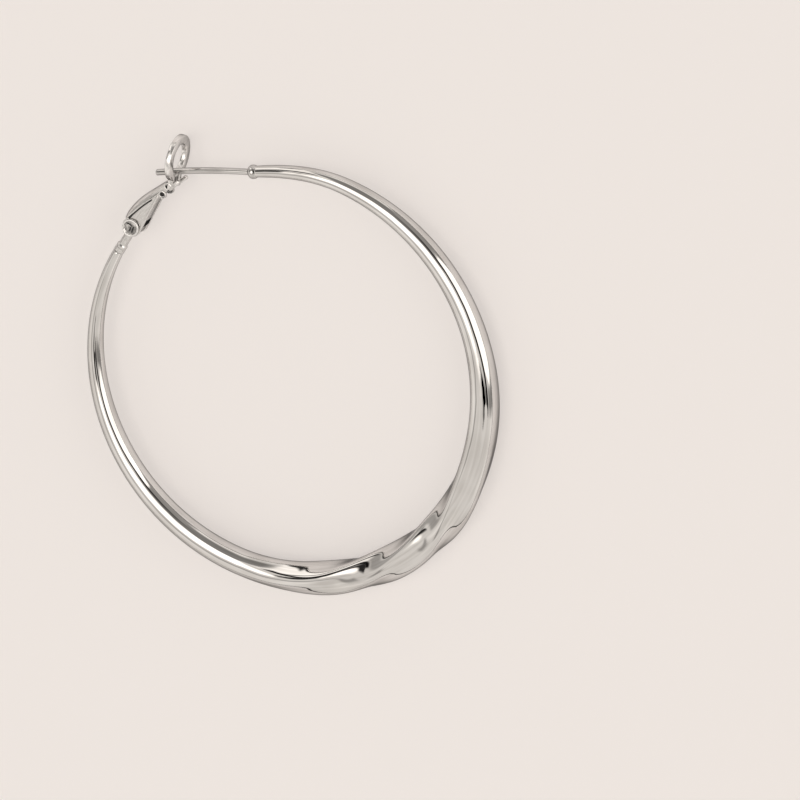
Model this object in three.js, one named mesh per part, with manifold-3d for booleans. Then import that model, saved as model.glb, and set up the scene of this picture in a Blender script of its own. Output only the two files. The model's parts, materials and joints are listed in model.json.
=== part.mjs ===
// A hinged hoop earring in polished silver-tone metal, in millimetres.
// A tapered tube is bent into an open hoop and twisted along its thick side. A straight ear post stands out
// of one end, and a spring clip turns on a hollow rivet at the other. The earring lies on its side with +Z
// up, and its origin is under the middle of its box, on the surface that it rests on.
import * as THREE from 'three';
import { mergeVertices } from 'three/addons/utils/BufferGeometryUtils.js';
import Module from 'manifold-3d';

const wasm = await Module();
wasm.setup();

const { degToRad, lerp, smoothstep, clamp } = THREE.MathUtils;

// The hoop lies in its own XY plane round its own Z axis, and angles go round it from +X, in degrees.
const HOOP_RADIUS = 28.3;
const CLIP_END = -212.8;
const POST_END = 95.7;
const THICK_SIDE = -57.5;
const THIN_WIDTH = 1.42;
const THICK_WIDTH = 3.9;
const TAPER_REACH = 155.3;
const TAPER_POWER = 1.8;
const TUBE_SIDES = 24;
const TUBE_STEPS = 124;

// The last stretch before the post is bent a little less, so that it ends inside the hoop's circle.
const STRAIGHTENED_FROM = 70;
const STRAIGHTENED_BY = 0.5;

// The twisted stretch. turn is how far one corner of the section has turned, in degrees from outwards
// towards +Z, power is 2 where the section is round and more where it is a rounded square, swell is what
// the width has beyond the taper, and out is how far the middle line bulges out of the hoop's circle.
const TWIST = [
  { angle: -108, turn: 84, power: 2, swell: 0, out: 0 },
  { angle: -94, turn: 90, power: 2.8, swell: 0.05, out: 0 },
  { angle: -84, turn: 107, power: 3.6, swell: 0.15, out: 0.02 },
  { angle: -72, turn: 145, power: 3.6, swell: 0.2, out: 0.1 },
  { angle: -62, turn: 184, power: 3.6, swell: 0.22, out: 0.17 },
  { angle: -51, turn: 219, power: 3.6, swell: 0.26, out: 0.22 },
  { angle: -41, turn: 262, power: 3.6, swell: 0.12, out: 0.26 },
  { angle: -29, turn: 297, power: 3.6, swell: 0.2, out: 0.13 },
  { angle: -20, turn: 306, power: 3.4, swell: 0.18, out: 0.02 },
  { angle: -6, turn: 309, power: 2.8, swell: 0.18, out: 0 },
  { angle: 12, turn: 310, power: 2.1, swell: 0.1, out: 0 },
  { angle: 24, turn: 310, power: 2, swell: 0.06, out: 0 },
];

// The ear post and the bead at its root.
const POST_ROOT = new THREE.Vector3(-3.77, 27.52, 0);
const POST_TIP = new THREE.Vector3(-17.37, 26.61, 0);
const POST_RADIUS = 0.425;
const POST_BOW = 0.24;
const POST_SUNK = 0.45;
const BEAD_RADIUS = 0.95;
const BEAD_EDGE_RADIUS = 0.7;
const BEAD_STEPS = 8;
const SEAM = 0.06;

// The hinge: its axis is parallel to the hoop's, and lengths along it are measured from the middle plane.
const HINGE = new THREE.Vector3(-21.05, 19.16, 0);
const RIVET_BORE = 0.68;
const RIVET_SHAFT = 0.86;
const RIVET_MOUTH = 0.92;
const RIVET_HEAD = 1.2;
const RIVET_HEAD_EDGE = 0.06;
const RIVET_HALF_LENGTH = 1.72;
const RIVET_HEAD_SEAT = 1.38;
const RIVET_FLARE = 0.45;
const RUNNING_GAP = 0.08;
const EYE_RADIUS = RIVET_SHAFT + RUNNING_GAP;
const BARREL_RADIUS = 1.2;
const BARREL_HALF_WIDTH = 0.85;
const BARREL_CLEARANCE = 0.12;
const STEM_RADIUS = 0.57;
const FERRULE_RADIUS = 0.73;
const FERRULE_LENGTH = 1.25;

// The clip has its own frame: the hinge is its origin, x runs along the lever, y points away from the
// hoop's middle and z runs along the hinge.
const LEVER_ANGLE = 45.9;
const CHEEK_INNER = 0.95;
const CHEEK_OUTER = 1.3;
const CHEEK_EYE = 1.35;
const CHEEK_OUTLINE = [
  [0, 1.2], [0.9, 1.08], [3.8, 1.1], [6.2, 0.84], [8.55, 0.42],
  [8.55, -0.42], [6.03, -0.05], [2.36, -0.85], [0.3, -1.31], [-0.3, 0],
];
const LEAF_CROWN = [[0.15, 1.55], [2.44, 1.76], [4.4, 1.58], [6.6, 1.15], [8.35, 0.74]];
const LEAF_STEPS = 14;
const LEAF_HALF_WIDTH = 1.5;
const LEAF_ARCH = 0.75;
const LEAF_WALL = 0.28;
const LEAF_OUTLINE = [[0.15, 1.05], [1.25, 1.5], [4.6, 1.5], [8.3, 1.15]];
const CLAW_RADIUS = 0.55;
const CLAW_HOLE = 0.2;
const CLAW_PROUD = 0.08;
const CLAWS = [[6.72, 0.02], [8.36, 0.1]];

// The clip's ring, a flat plate in a plane that holds the hinge's direction, split below for the post.
const RING_CENTRE = new THREE.Vector3(11.77, 1.8, 0);
const RING_LEAN = 32.1;
const RING_RADIUS = 3.15;
const RING_HOLE = 1.95;
const RING_WALL = 0.75;
const RING_BEVEL = 0.14;
const NECK_HALF_WIDTH = 1.36;
const NECK_REACH = 4.25;
const SLOT_HALF_WIDTH = 0.68;
const SLOT_FROM_HINGE = 7.75;
const SLOT_TO_HINGE = 10.6;

// The leaf spring inside the lever, which bears on the hinge's barrel.
const SPRING_ROUTE = [[7.25, 0.2], [4.6, -0.2], [2.4, -0.7], [1.06, -1.03]];
const SPRING_HALF_WIDTH = 0.85;
const SPRING_WALL = 0.22;
const SPRING_STEPS = 10;

const METAL = { metalness: 1, roughness: 0.08 };
const COLOURS = { tube: 0xd6d4d2, post: 0xcfcdcb, knuckle: 0xc9c7c5, rivet: 0xdedcda, lever: 0xd2cfcd,
  spring: 0xbebcba };

function toManifold(geometry) {
  const bare = geometry.clone();
  bare.deleteAttribute('normal');
  bare.deleteAttribute('uv');
  const merged = mergeVertices(bare);
  return new wasm.Manifold(new wasm.Mesh({
    numProp: 3,
    vertProperties: new Float32Array(merged.attributes.position.array),
    triVerts: new Uint32Array(merged.index.array),
  }));
}

function toGeometry(manifold) {
  const mesh = manifold.getMesh();
  const geometry = new THREE.BufferGeometry();
  geometry.setAttribute('position', new THREE.BufferAttribute(new Float32Array(mesh.vertProperties), 3));
  geometry.setIndex(new THREE.BufferAttribute(new Uint32Array(mesh.triVerts), 1));
  geometry.computeVertexNormals();
  return geometry;
}

function joined(geometries) {
  return geometries.map(toManifold).reduce((whole, piece) => whole.add(piece));
}

function cut(manifold, geometries) {
  return geometries.map(toManifold).reduce((left, piece) => left.subtract(piece), manifold);
}

function named(name, geometry, colour) {
  const mesh = new THREE.Mesh(geometry, new THREE.MeshStandardMaterial({ color: colour, ...METAL }));
  mesh.name = name;
  return mesh;
}

// A cylinder along z.
function drum(radius, halfWidth, sides = 32) {
  return new THREE.CylinderGeometry(radius, radius, 2 * halfWidth, sides).rotateX(Math.PI / 2);
}

// A flat outline in the XY plane given thickness from low to high along z.
function plate(shape, low, high, curveSegments = 12) {
  const options = { depth: high - low, bevelEnabled: false, curveSegments };
  return new THREE.ExtrudeGeometry(shape, options).translate(0, 0, low);
}

function outline(points) {
  return new THREE.Shape(points.map(([x, y]) => new THREE.Vector2(x, y)));
}

// The same outline on one side of the middle plane, side 1 towards +z and side -1 towards -z.
function sidePlate(shape, inner, outer, side, curveSegments) {
  const [low, high] = side > 0 ? [inner, outer] : [-outer, -inner];
  return plate(shape, low, high, curveSegments);
}

// The tube's middle line, width and section.
function twistColumn(name) {
  const angles = TWIST.map((row) => row.angle);
  const curve = new THREE.CubicInterpolant(angles, TWIST.map((row) => row[name]), 1);
  return (angle) => curve.evaluate(clamp(angle, angles[0], angles.at(-1)))[0];
}

const turnAt = twistColumn('turn');
const powerAt = twistColumn('power');
const swellAt = twistColumn('swell');
const outAt = twistColumn('out');

function middleRadius(angle) {
  return HOOP_RADIUS + outAt(angle) - STRAIGHTENED_BY * smoothstep(angle, STRAIGHTENED_FROM, POST_END);
}

function hoopPoint(angle) {
  const turned = degToRad(angle);
  const radius = middleRadius(angle);
  return new THREE.Vector3(radius * Math.cos(turned), radius * Math.sin(turned), 0);
}

function widthAt(angle) {
  const taper = Math.abs((angle - THICK_SIDE) / TAPER_REACH) ** TAPER_POWER;
  return lerp(THICK_WIDTH, THIN_WIDTH, taper) + swellAt(angle);
}

// How far the section reaches from its middle, in a direction measured from one of its corners.
function sectionReach(angle, direction) {
  const power = powerAt(angle);
  const across = Math.abs(Math.cos(direction + Math.PI / 4));
  const along = Math.abs(Math.sin(direction + Math.PI / 4));
  return 0.5 * widthAt(angle) * (across ** power + along ** power) ** (-1 / power);
}

// The tube is a straight bar of many steps, wrapped round the hoop with its section turned and squared.
function hoopTube() {
  const geometry = new THREE.CylinderGeometry(1, 1, 1, TUBE_SIDES, TUBE_STEPS);
  const position = geometry.attributes.position;
  for (let index = 0; index < position.count; index += 1) {
    const [x, y, z] = [position.getX(index), position.getY(index), position.getZ(index)];
    const angle = lerp(CLIP_END, POST_END, y + 0.5);
    const direction = Math.atan2(z, x);
    const reach = Math.hypot(x, z) * sectionReach(angle, direction);
    const turned = direction + degToRad(turnAt(angle));
    const radius = middleRadius(angle) + reach * Math.cos(turned);
    const place = degToRad(angle);
    position.setXYZ(index, radius * Math.cos(place), radius * Math.sin(place), reach * Math.sin(turned));
  }
  return toGeometry(toManifold(geometry));
}

// The post and its bead are soldered into one solid. The bead's flat root meets the tube's end.
function earPost() {
  const tubeEnd = hoopPoint(POST_END);
  const beadLine = POST_ROOT.clone().sub(tubeEnd);
  const beadLength = beadLine.length();
  const profile = [new THREE.Vector2(0, SEAM)];
  for (let step = 0; step <= BEAD_STEPS; step += 1) {
    const part = step / BEAD_STEPS;
    const radius = lerp(BEAD_EDGE_RADIUS, BEAD_RADIUS, Math.sin(Math.PI * part));
    profile.push(new THREE.Vector2(radius, lerp(SEAM, beadLength, part)));
  }
  profile.push(new THREE.Vector2(0, beadLength));
  const up = new THREE.Vector3(0, 1, 0);
  const turn = new THREE.Quaternion().setFromUnitVectors(up, beadLine.clone().normalize());
  const bead = new THREE.LatheGeometry(profile, 20).applyQuaternion(turn).translate(...tubeEnd);

  const line = POST_TIP.clone().sub(POST_ROOT).normalize();
  const start = POST_ROOT.clone().addScaledVector(line, -POST_SUNK);
  const bow = new THREE.Vector3(line.y, -line.x, 0).multiplyScalar(2 * POST_BOW);
  const middle = start.clone().lerp(POST_TIP, 0.5).add(bow);
  const section = new THREE.Shape().absarc(0, 0, POST_RADIUS, 0, 2 * Math.PI);
  const wire = new THREE.ExtrudeGeometry(section, {
    steps: 10,
    curveSegments: 8,
    extrudePath: new THREE.QuadraticBezierCurve3(start, middle, POST_TIP),
  });
  return toGeometry(joined([bead, wire]));
}

// The knuckle in a frame of its own: the hinge is its origin, and its stem runs along +x to the tube.
function hingeKnuckle(length) {
  const stem = new THREE.CylinderGeometry(STEM_RADIUS, STEM_RADIUS, length - FERRULE_LENGTH / 2, 16)
    .rotateZ(-Math.PI / 2)
    .translate((length - FERRULE_LENGTH / 2) / 2, 0, 0);
  const ferruleProfile = [
    [0, 0], [STEM_RADIUS, 0], [FERRULE_RADIUS, 0.3], [FERRULE_RADIUS, FERRULE_LENGTH - 0.12],
    [FERRULE_RADIUS - 0.07, FERRULE_LENGTH], [0, FERRULE_LENGTH],
  ].map(([x, y]) => new THREE.Vector2(x, y));
  const ferrule = new THREE.LatheGeometry(ferruleProfile, 20)
    .rotateZ(-Math.PI / 2)
    .translate(length - SEAM - FERRULE_LENGTH, 0, 0);
  const body = joined([drum(BARREL_RADIUS, BARREL_HALF_WIDTH), stem, ferrule]);
  return toGeometry(cut(body, [drum(EYE_RADIUS, BARREL_RADIUS)]));
}

// The hollow rivet, whose two ends are rolled out into heads with wide mouths.
function hingeRivet() {
  const half = [
    [RIVET_BORE, RIVET_HALF_LENGTH - RIVET_FLARE],
    [RIVET_MOUTH, RIVET_HALF_LENGTH],
    [RIVET_HEAD - RIVET_HEAD_EDGE, RIVET_HALF_LENGTH],
    [RIVET_HEAD, RIVET_HALF_LENGTH - RIVET_HEAD_EDGE],
    [RIVET_HEAD, RIVET_HEAD_SEAT + RIVET_HEAD_EDGE],
    [RIVET_HEAD - RIVET_HEAD_EDGE, RIVET_HEAD_SEAT],
    [RIVET_SHAFT, RIVET_HEAD_SEAT],
  ];
  const lower = half.map(([radius, height]) => [radius, -height]);
  const profile = [...lower, ...half.slice().reverse()];
  const ring = profile.map(([radius, height]) => new THREE.Vector2(radius, height));
  ring.push(ring[0].clone());
  return toGeometry(toManifold(new THREE.LatheGeometry(ring, 32).rotateX(Math.PI / 2)));
}

// The arched leaf on the lever's back, trimmed to a lens seen from outside.
function leverBack() {
  const arch = new THREE.Shape();
  arch.absellipse(0, -LEAF_ARCH, LEAF_HALF_WIDTH, LEAF_ARCH, 0, Math.PI);
  arch.absellipse(0, -LEAF_ARCH, LEAF_HALF_WIDTH - LEAF_WALL, LEAF_ARCH - LEAF_WALL, Math.PI, 0, true);
  arch.closePath();
  const crown = new THREE.CatmullRomCurve3(LEAF_CROWN.map(([x, y]) => new THREE.Vector3(x, y, 0)));
  const swept = new THREE.ExtrudeGeometry(arch, { steps: LEAF_STEPS, curveSegments: 8, extrudePath: crown });
  const oneSide = LEAF_OUTLINE.map(([x, halfWidth]) => [x, -halfWidth]);
  const lens = outline([...oneSide, ...LEAF_OUTLINE.slice().reverse()]);
  const trim = plate(lens, -RING_RADIUS, RING_RADIUS).rotateX(-Math.PI / 2);
  return toManifold(swept).intersect(toManifold(trim));
}

// One cheek with its hinge eye and its curled claws.
function leverCheek(side) {
  const disc = (radius) => new THREE.Shape().absarc(0, 0, radius, 0, 2 * Math.PI);
  const cheek = sidePlate(outline(CHEEK_OUTLINE), CHEEK_INNER, CHEEK_OUTER, side);
  const eye = sidePlate(disc(CHEEK_EYE), CHEEK_INNER, CHEEK_OUTER, side, 16);
  const claws = CLAWS.map(([x, y]) => (
    sidePlate(disc(CLAW_RADIUS), CHEEK_INNER, CHEEK_OUTER + CLAW_PROUD, side, 8).translate(x, y, 0)
  ));
  const holes = CLAWS.map(([x, y]) => drum(CLAW_HOLE, RING_RADIUS, 12).translate(x, y - CLAW_HOLE, 0));
  return cut(joined([cheek, eye, ...claws]), holes);
}

// The clip's ring and the neck below it, with softened edges.
function clipRing() {
  const edge = RING_RADIUS - RING_BEVEL;
  const neck = NECK_HALF_WIDTH - RING_BEVEL;
  const meets = Math.asin(neck / edge);
  const shape = new THREE.Shape();
  shape.moveTo(-NECK_REACH, -neck);
  shape.lineTo(-edge * Math.cos(meets), -neck);
  shape.absarc(0, 0, edge, Math.PI + meets, 3 * Math.PI - meets);
  shape.lineTo(-NECK_REACH, neck);
  shape.closePath();
  shape.holes.push(new THREE.Path().absarc(0, 0, RING_HOLE + RING_BEVEL, 0, 2 * Math.PI, true));
  const geometry = new THREE.ExtrudeGeometry(shape, {
    depth: RING_WALL - 2 * RING_BEVEL,
    bevelThickness: RING_BEVEL,
    bevelSize: RING_BEVEL,
    bevelSegments: 2,
    curveSegments: 18,
  });
  const lean = degToRad(RING_LEAN);
  const along = new THREE.Vector3(Math.cos(lean), Math.sin(lean), 0);
  const across = new THREE.Vector3(0, 0, 1);
  const front = along.clone().cross(across);
  geometry.translate(0, 0, RING_BEVEL - RING_WALL / 2);
  geometry.applyMatrix4(new THREE.Matrix4().makeBasis(along, across, front).setPosition(RING_CENTRE));
  return toManifold(geometry);
}

// The whole stamped lever. The slot is a piece of a drum round the hinge, so that the post's tip passes
// through it as the clip turns.
function clipLever() {
  const blank = leverBack().add(leverCheek(1)).add(leverCheek(-1)).add(clipRing());
  const sweep = new THREE.Shape().absarc(0, 0, SLOT_TO_HINGE, -Math.PI / 4, Math.PI / 4);
  sweep.absarc(0, 0, SLOT_FROM_HINGE, Math.PI / 4, -Math.PI / 4, true);
  return toGeometry(cut(blank, [
    drum(EYE_RADIUS, RING_RADIUS),
    drum(BARREL_RADIUS + BARREL_CLEARANCE, CHEEK_INNER - 0.02),
    plate(sweep, -SLOT_HALF_WIDTH, SLOT_HALF_WIDTH),
  ]));
}

function leafSpring() {
  const [low, high] = [-SPRING_HALF_WIDTH, SPRING_HALF_WIDTH];
  const half = SPRING_WALL / 2;
  const strip = outline([[low, -half], [high, -half], [high, half], [low, half]]);
  const route = new THREE.CatmullRomCurve3(SPRING_ROUTE.map(([x, y]) => new THREE.Vector3(x, y, 0)));
  const bent = new THREE.ExtrudeGeometry(strip, { steps: SPRING_STEPS, extrudePath: route });
  return toGeometry(toManifold(bent));
}

// The earring flat in its own XY plane.
const tubeEnd = hoopPoint(CLIP_END);
const stemLine = tubeEnd.clone().sub(HINGE);

const tube = named('hoop_tube', hoopTube(), COLOURS.tube);
const post = named('ear_post', earPost(), COLOURS.post);
const knuckle = named('hinge_knuckle', hingeKnuckle(stemLine.length()), COLOURS.knuckle);
knuckle.position.copy(HINGE);
knuckle.rotation.z = Math.atan2(stemLine.y, stemLine.x);
const rivet = named('hinge_rivet', hingeRivet(), COLOURS.rivet);
rivet.position.copy(HINGE);

const clip = new THREE.Group();
clip.position.copy(HINGE);
clip.rotation.z = degToRad(LEVER_ANGLE);
clip.add(named('clip_lever', clipLever(), COLOURS.lever));
clip.add(named('leaf_spring', leafSpring(), COLOURS.spring));

const flat = new THREE.Group();
flat.add(tube, post, knuckle, rivet, clip);

// At rest it stands on the ring's edge and on the two lowest corners of the twist.
function lowestCorner(angle) {
  const place = hoopPoint(angle);
  place.z = -sectionReach(angle, 0);
  return place;
}
clip.updateMatrix();
const ringFoot = RING_CENTRE.clone().applyMatrix4(clip.matrix);
ringFoot.z = -RING_RADIUS;
const floor = new THREE.Plane().setFromCoplanarPoints(ringFoot, lowestCorner(-64), lowestCorner(-40));
const up = new THREE.Vector3(0, 0, 1);
if (floor.normal.z < 0) {
  floor.negate();
}
flat.quaternion.setFromUnitVectors(floor.normal, up);

const earring = new THREE.Group();
earring.name = 'hinged_hoop_earring';
earring.add(flat);
earring.updateMatrixWorld(true);
const box = new THREE.Box3().setFromObject(earring, true);
const middle = box.getCenter(new THREE.Vector3());
flat.position.set(-middle.x, -middle.y, -box.min.z);
earring.updateMatrixWorld(true);

export default earring;
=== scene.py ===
"""A hinged hoop earring of polished silver-tone metal, lying on its side on a pale floor.

A tapered tube is bent into an open hoop and twisted along its thick side. A straight ear post stands out of
one end, and a sprung ring clip turns on a hollow rivet at the other. Every piece is modelled in millimetres
in the hoop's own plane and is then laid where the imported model's hinge says.
"""

import json
import logging
import math
from dataclasses import dataclass, field
from enum import Enum
from typing import Callable, Iterable, Sequence, Union

import bpy
import numpy as np
from mathutils import Matrix, Quaternion, Vector


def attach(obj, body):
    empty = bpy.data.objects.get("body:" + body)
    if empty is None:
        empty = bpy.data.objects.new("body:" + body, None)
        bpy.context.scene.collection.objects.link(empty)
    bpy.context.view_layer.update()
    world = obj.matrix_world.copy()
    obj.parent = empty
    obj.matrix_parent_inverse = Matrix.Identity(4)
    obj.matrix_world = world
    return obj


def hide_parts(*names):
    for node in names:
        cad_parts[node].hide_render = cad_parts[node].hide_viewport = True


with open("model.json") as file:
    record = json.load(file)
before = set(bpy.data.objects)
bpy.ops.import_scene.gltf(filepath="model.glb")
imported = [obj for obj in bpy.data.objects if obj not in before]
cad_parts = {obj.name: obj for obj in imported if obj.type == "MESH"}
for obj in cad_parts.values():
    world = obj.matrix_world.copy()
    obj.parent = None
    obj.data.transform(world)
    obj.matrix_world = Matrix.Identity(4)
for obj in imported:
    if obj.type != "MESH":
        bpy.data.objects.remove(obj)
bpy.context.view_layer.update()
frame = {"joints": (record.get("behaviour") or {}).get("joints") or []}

LOG = logging.getLogger("earring")
MILLIMETRE = 0.001
# Points that lie closer than this, in millimetres, are merged.
MERGING_DISTANCE = 0.0005

Point = tuple[float, ...]
Table = tuple[Point, ...]
Piece = bpy.types.Object
Value = Union["Wire", float]


# Shader nodes, written as expressions.
class Wire:
    """A node's output, on which Python arithmetic adds Math nodes."""

    def __init__(self, board: "Board", socket: bpy.types.NodeSocket) -> None:
        """Wraps one output socket.

        Args:
            board: The board that the node stands on.
            socket: The output socket.
        """
        self.board = board
        self.socket = socket

    def _with(self, operation: str, *values: Value) -> "Wire":
        """Adds one Math node.

        Args:
            operation: The Math node's operation.
            values: Its inputs, in order.

        Returns:
            The node's result.
        """
        return self.board.node("ShaderNodeMath", {"operation": operation}, dict(enumerate(values)))

    def __add__(self, other: Value) -> "Wire":
        """Sum."""
        return self._with("ADD", self, other)

    def __radd__(self, other: Value) -> "Wire":
        """Sum, from the right."""
        return self._with("ADD", other, self)

    def __sub__(self, other: Value) -> "Wire":
        """Difference."""
        return self._with("SUBTRACT", self, other)

    def __rsub__(self, other: Value) -> "Wire":
        """Difference, from the right."""
        return self._with("SUBTRACT", other, self)

    def __mul__(self, other: Value) -> "Wire":
        """Product."""
        return self._with("MULTIPLY", self, other)

    def __rmul__(self, other: Value) -> "Wire":
        """Product, from the right."""
        return self._with("MULTIPLY", other, self)

    def root(self) -> "Wire":
        """Square root."""
        return self._with("SQRT", self)

    def direction(self, across: "Wire") -> "Wire":
        """Angle in radians of the point whose x is across and whose y is this value."""
        return self._with("ARCTAN2", self, across)

    def eased(self, start: float, end: float) -> "Wire":
        """Smooth step from 0 at start to 1 at end.

        Args:
            start: Where the step is still 0.
            end: Where the step is 1.

        Returns:
            The eased value.
        """
        sockets = {"Value": self, "From Min": start, "From Max": end}
        return self.board.node("ShaderNodeMapRange", {"interpolation_type": "SMOOTHSTEP"}, sockets)


class Board:
    """The node tree of a material or a world, wired through expressions."""

    def __init__(self, tree: bpy.types.NodeTree) -> None:
        """Empties the tree.

        Args:
            tree: The tree to wire.
        """
        self.tree = tree
        self.tree.nodes.clear()

    def node(self, kind: str, settings: dict, sockets: dict, output: int | str = 0) -> Wire:
        """Adds a node, sets it and then fills its inputs.

        Args:
            kind: The node's type.
            settings: Its properties by name.
            sockets: Its inputs by name or number, as values or wires.
            output: The output that is returned, or the first input of a node without one.

        Returns:
            The output's wire.
        """
        made = self.tree.nodes.new(kind)
        for name, value in settings.items():
            setattr(made, name, value)
        for name, value in sockets.items():
            if isinstance(value, Wire):
                self.tree.links.new(value.socket, made.inputs[name])
            else:
                made.inputs[name].default_value = value
        return Wire(self, made.outputs[output] if len(made.outputs) else made.inputs[0])

    def axes(self, vector: Wire) -> tuple[Wire, Wire, Wire]:
        """Splits a vector into its three numbers.

        Args:
            vector: The vector's wire.

        Returns:
            Its x, y and z.
        """
        split = self.node("ShaderNodeSeparateXYZ", {}, {0: vector})
        outputs = split.socket.node.outputs
        return Wire(self, outputs[0]), Wire(self, outputs[1]), Wire(self, outputs[2])

    def vector(self, x: Value, y: Value, z: Value) -> Wire:
        """Joins three numbers into a vector."""
        return self.node("ShaderNodeCombineXYZ", {}, {0: x, 1: y, 2: z})

    def noise(self, vector: Wire, scale: float, detail: float) -> Wire:
        """Fractal noise about 0.5.

        Args:
            vector: The place that it is read at.
            scale: Its spots per unit.
            detail: Its octaves.

        Returns:
            The noise.
        """
        return self.node("ShaderNodeTexNoise", {}, {"Vector": vector, "Scale": scale, "Detail": detail})

    def tint(self, mask: Value, low: Point, high: Point) -> Wire:
        """Mixes two colours by a mask.

        Args:
            mask: 0 for the first colour and 1 for the second.
            low: The first colour.
            high: The second colour.

        Returns:
            The mixed colour.
        """
        sockets = {0: mask, 6: (*low, 1.0), 7: (*high, 1.0)}
        return self.node("ShaderNodeMix", {"data_type": "RGBA"}, sockets, 2)


def blank_material(name: str) -> tuple[bpy.types.Material, Board]:
    """A new material with nothing in it, and the board to wire it on.

    Args:
        name: Its name.

    Returns:
        The material and its board.
    """
    made = bpy.data.materials.new(name)
    made.use_nodes = True
    return made, Board(made.node_tree)


# The hoop's own plane, in millimetres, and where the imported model's hinge lays it.
HOOP_RADIUS = 28.3
HINGE = Vector((-21.05, 19.16, 0.0))
UP = Vector((0.0, 0.0, 1.0))


@dataclass(frozen=True)
class Lay:
    """Where the hoop's own plane lies in the scene."""

    turn: Quaternion
    origin: Vector

    @classmethod
    def from_hinge(cls, joint: dict) -> "Lay":
        """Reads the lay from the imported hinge, whose axis is the hoop's own.

        Args:
            joint: The hinge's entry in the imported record.

        Returns:
            The lay.
        """
        turn = UP.rotation_difference(Vector(joint["axis"]))
        return cls(turn, Vector(joint["pos_m"]) - turn @ (HINGE * MILLIMETRE))

    def matrix(self) -> Matrix:
        """From millimetres in the hoop's plane to metres in the scene."""
        return Matrix.LocRotScale(self.origin, self.turn, Vector((MILLIMETRE,) * 3))

    def point(self, place: Vector) -> Vector:
        """A point of the hoop's plane, in the scene."""
        return self.matrix() @ place


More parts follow.
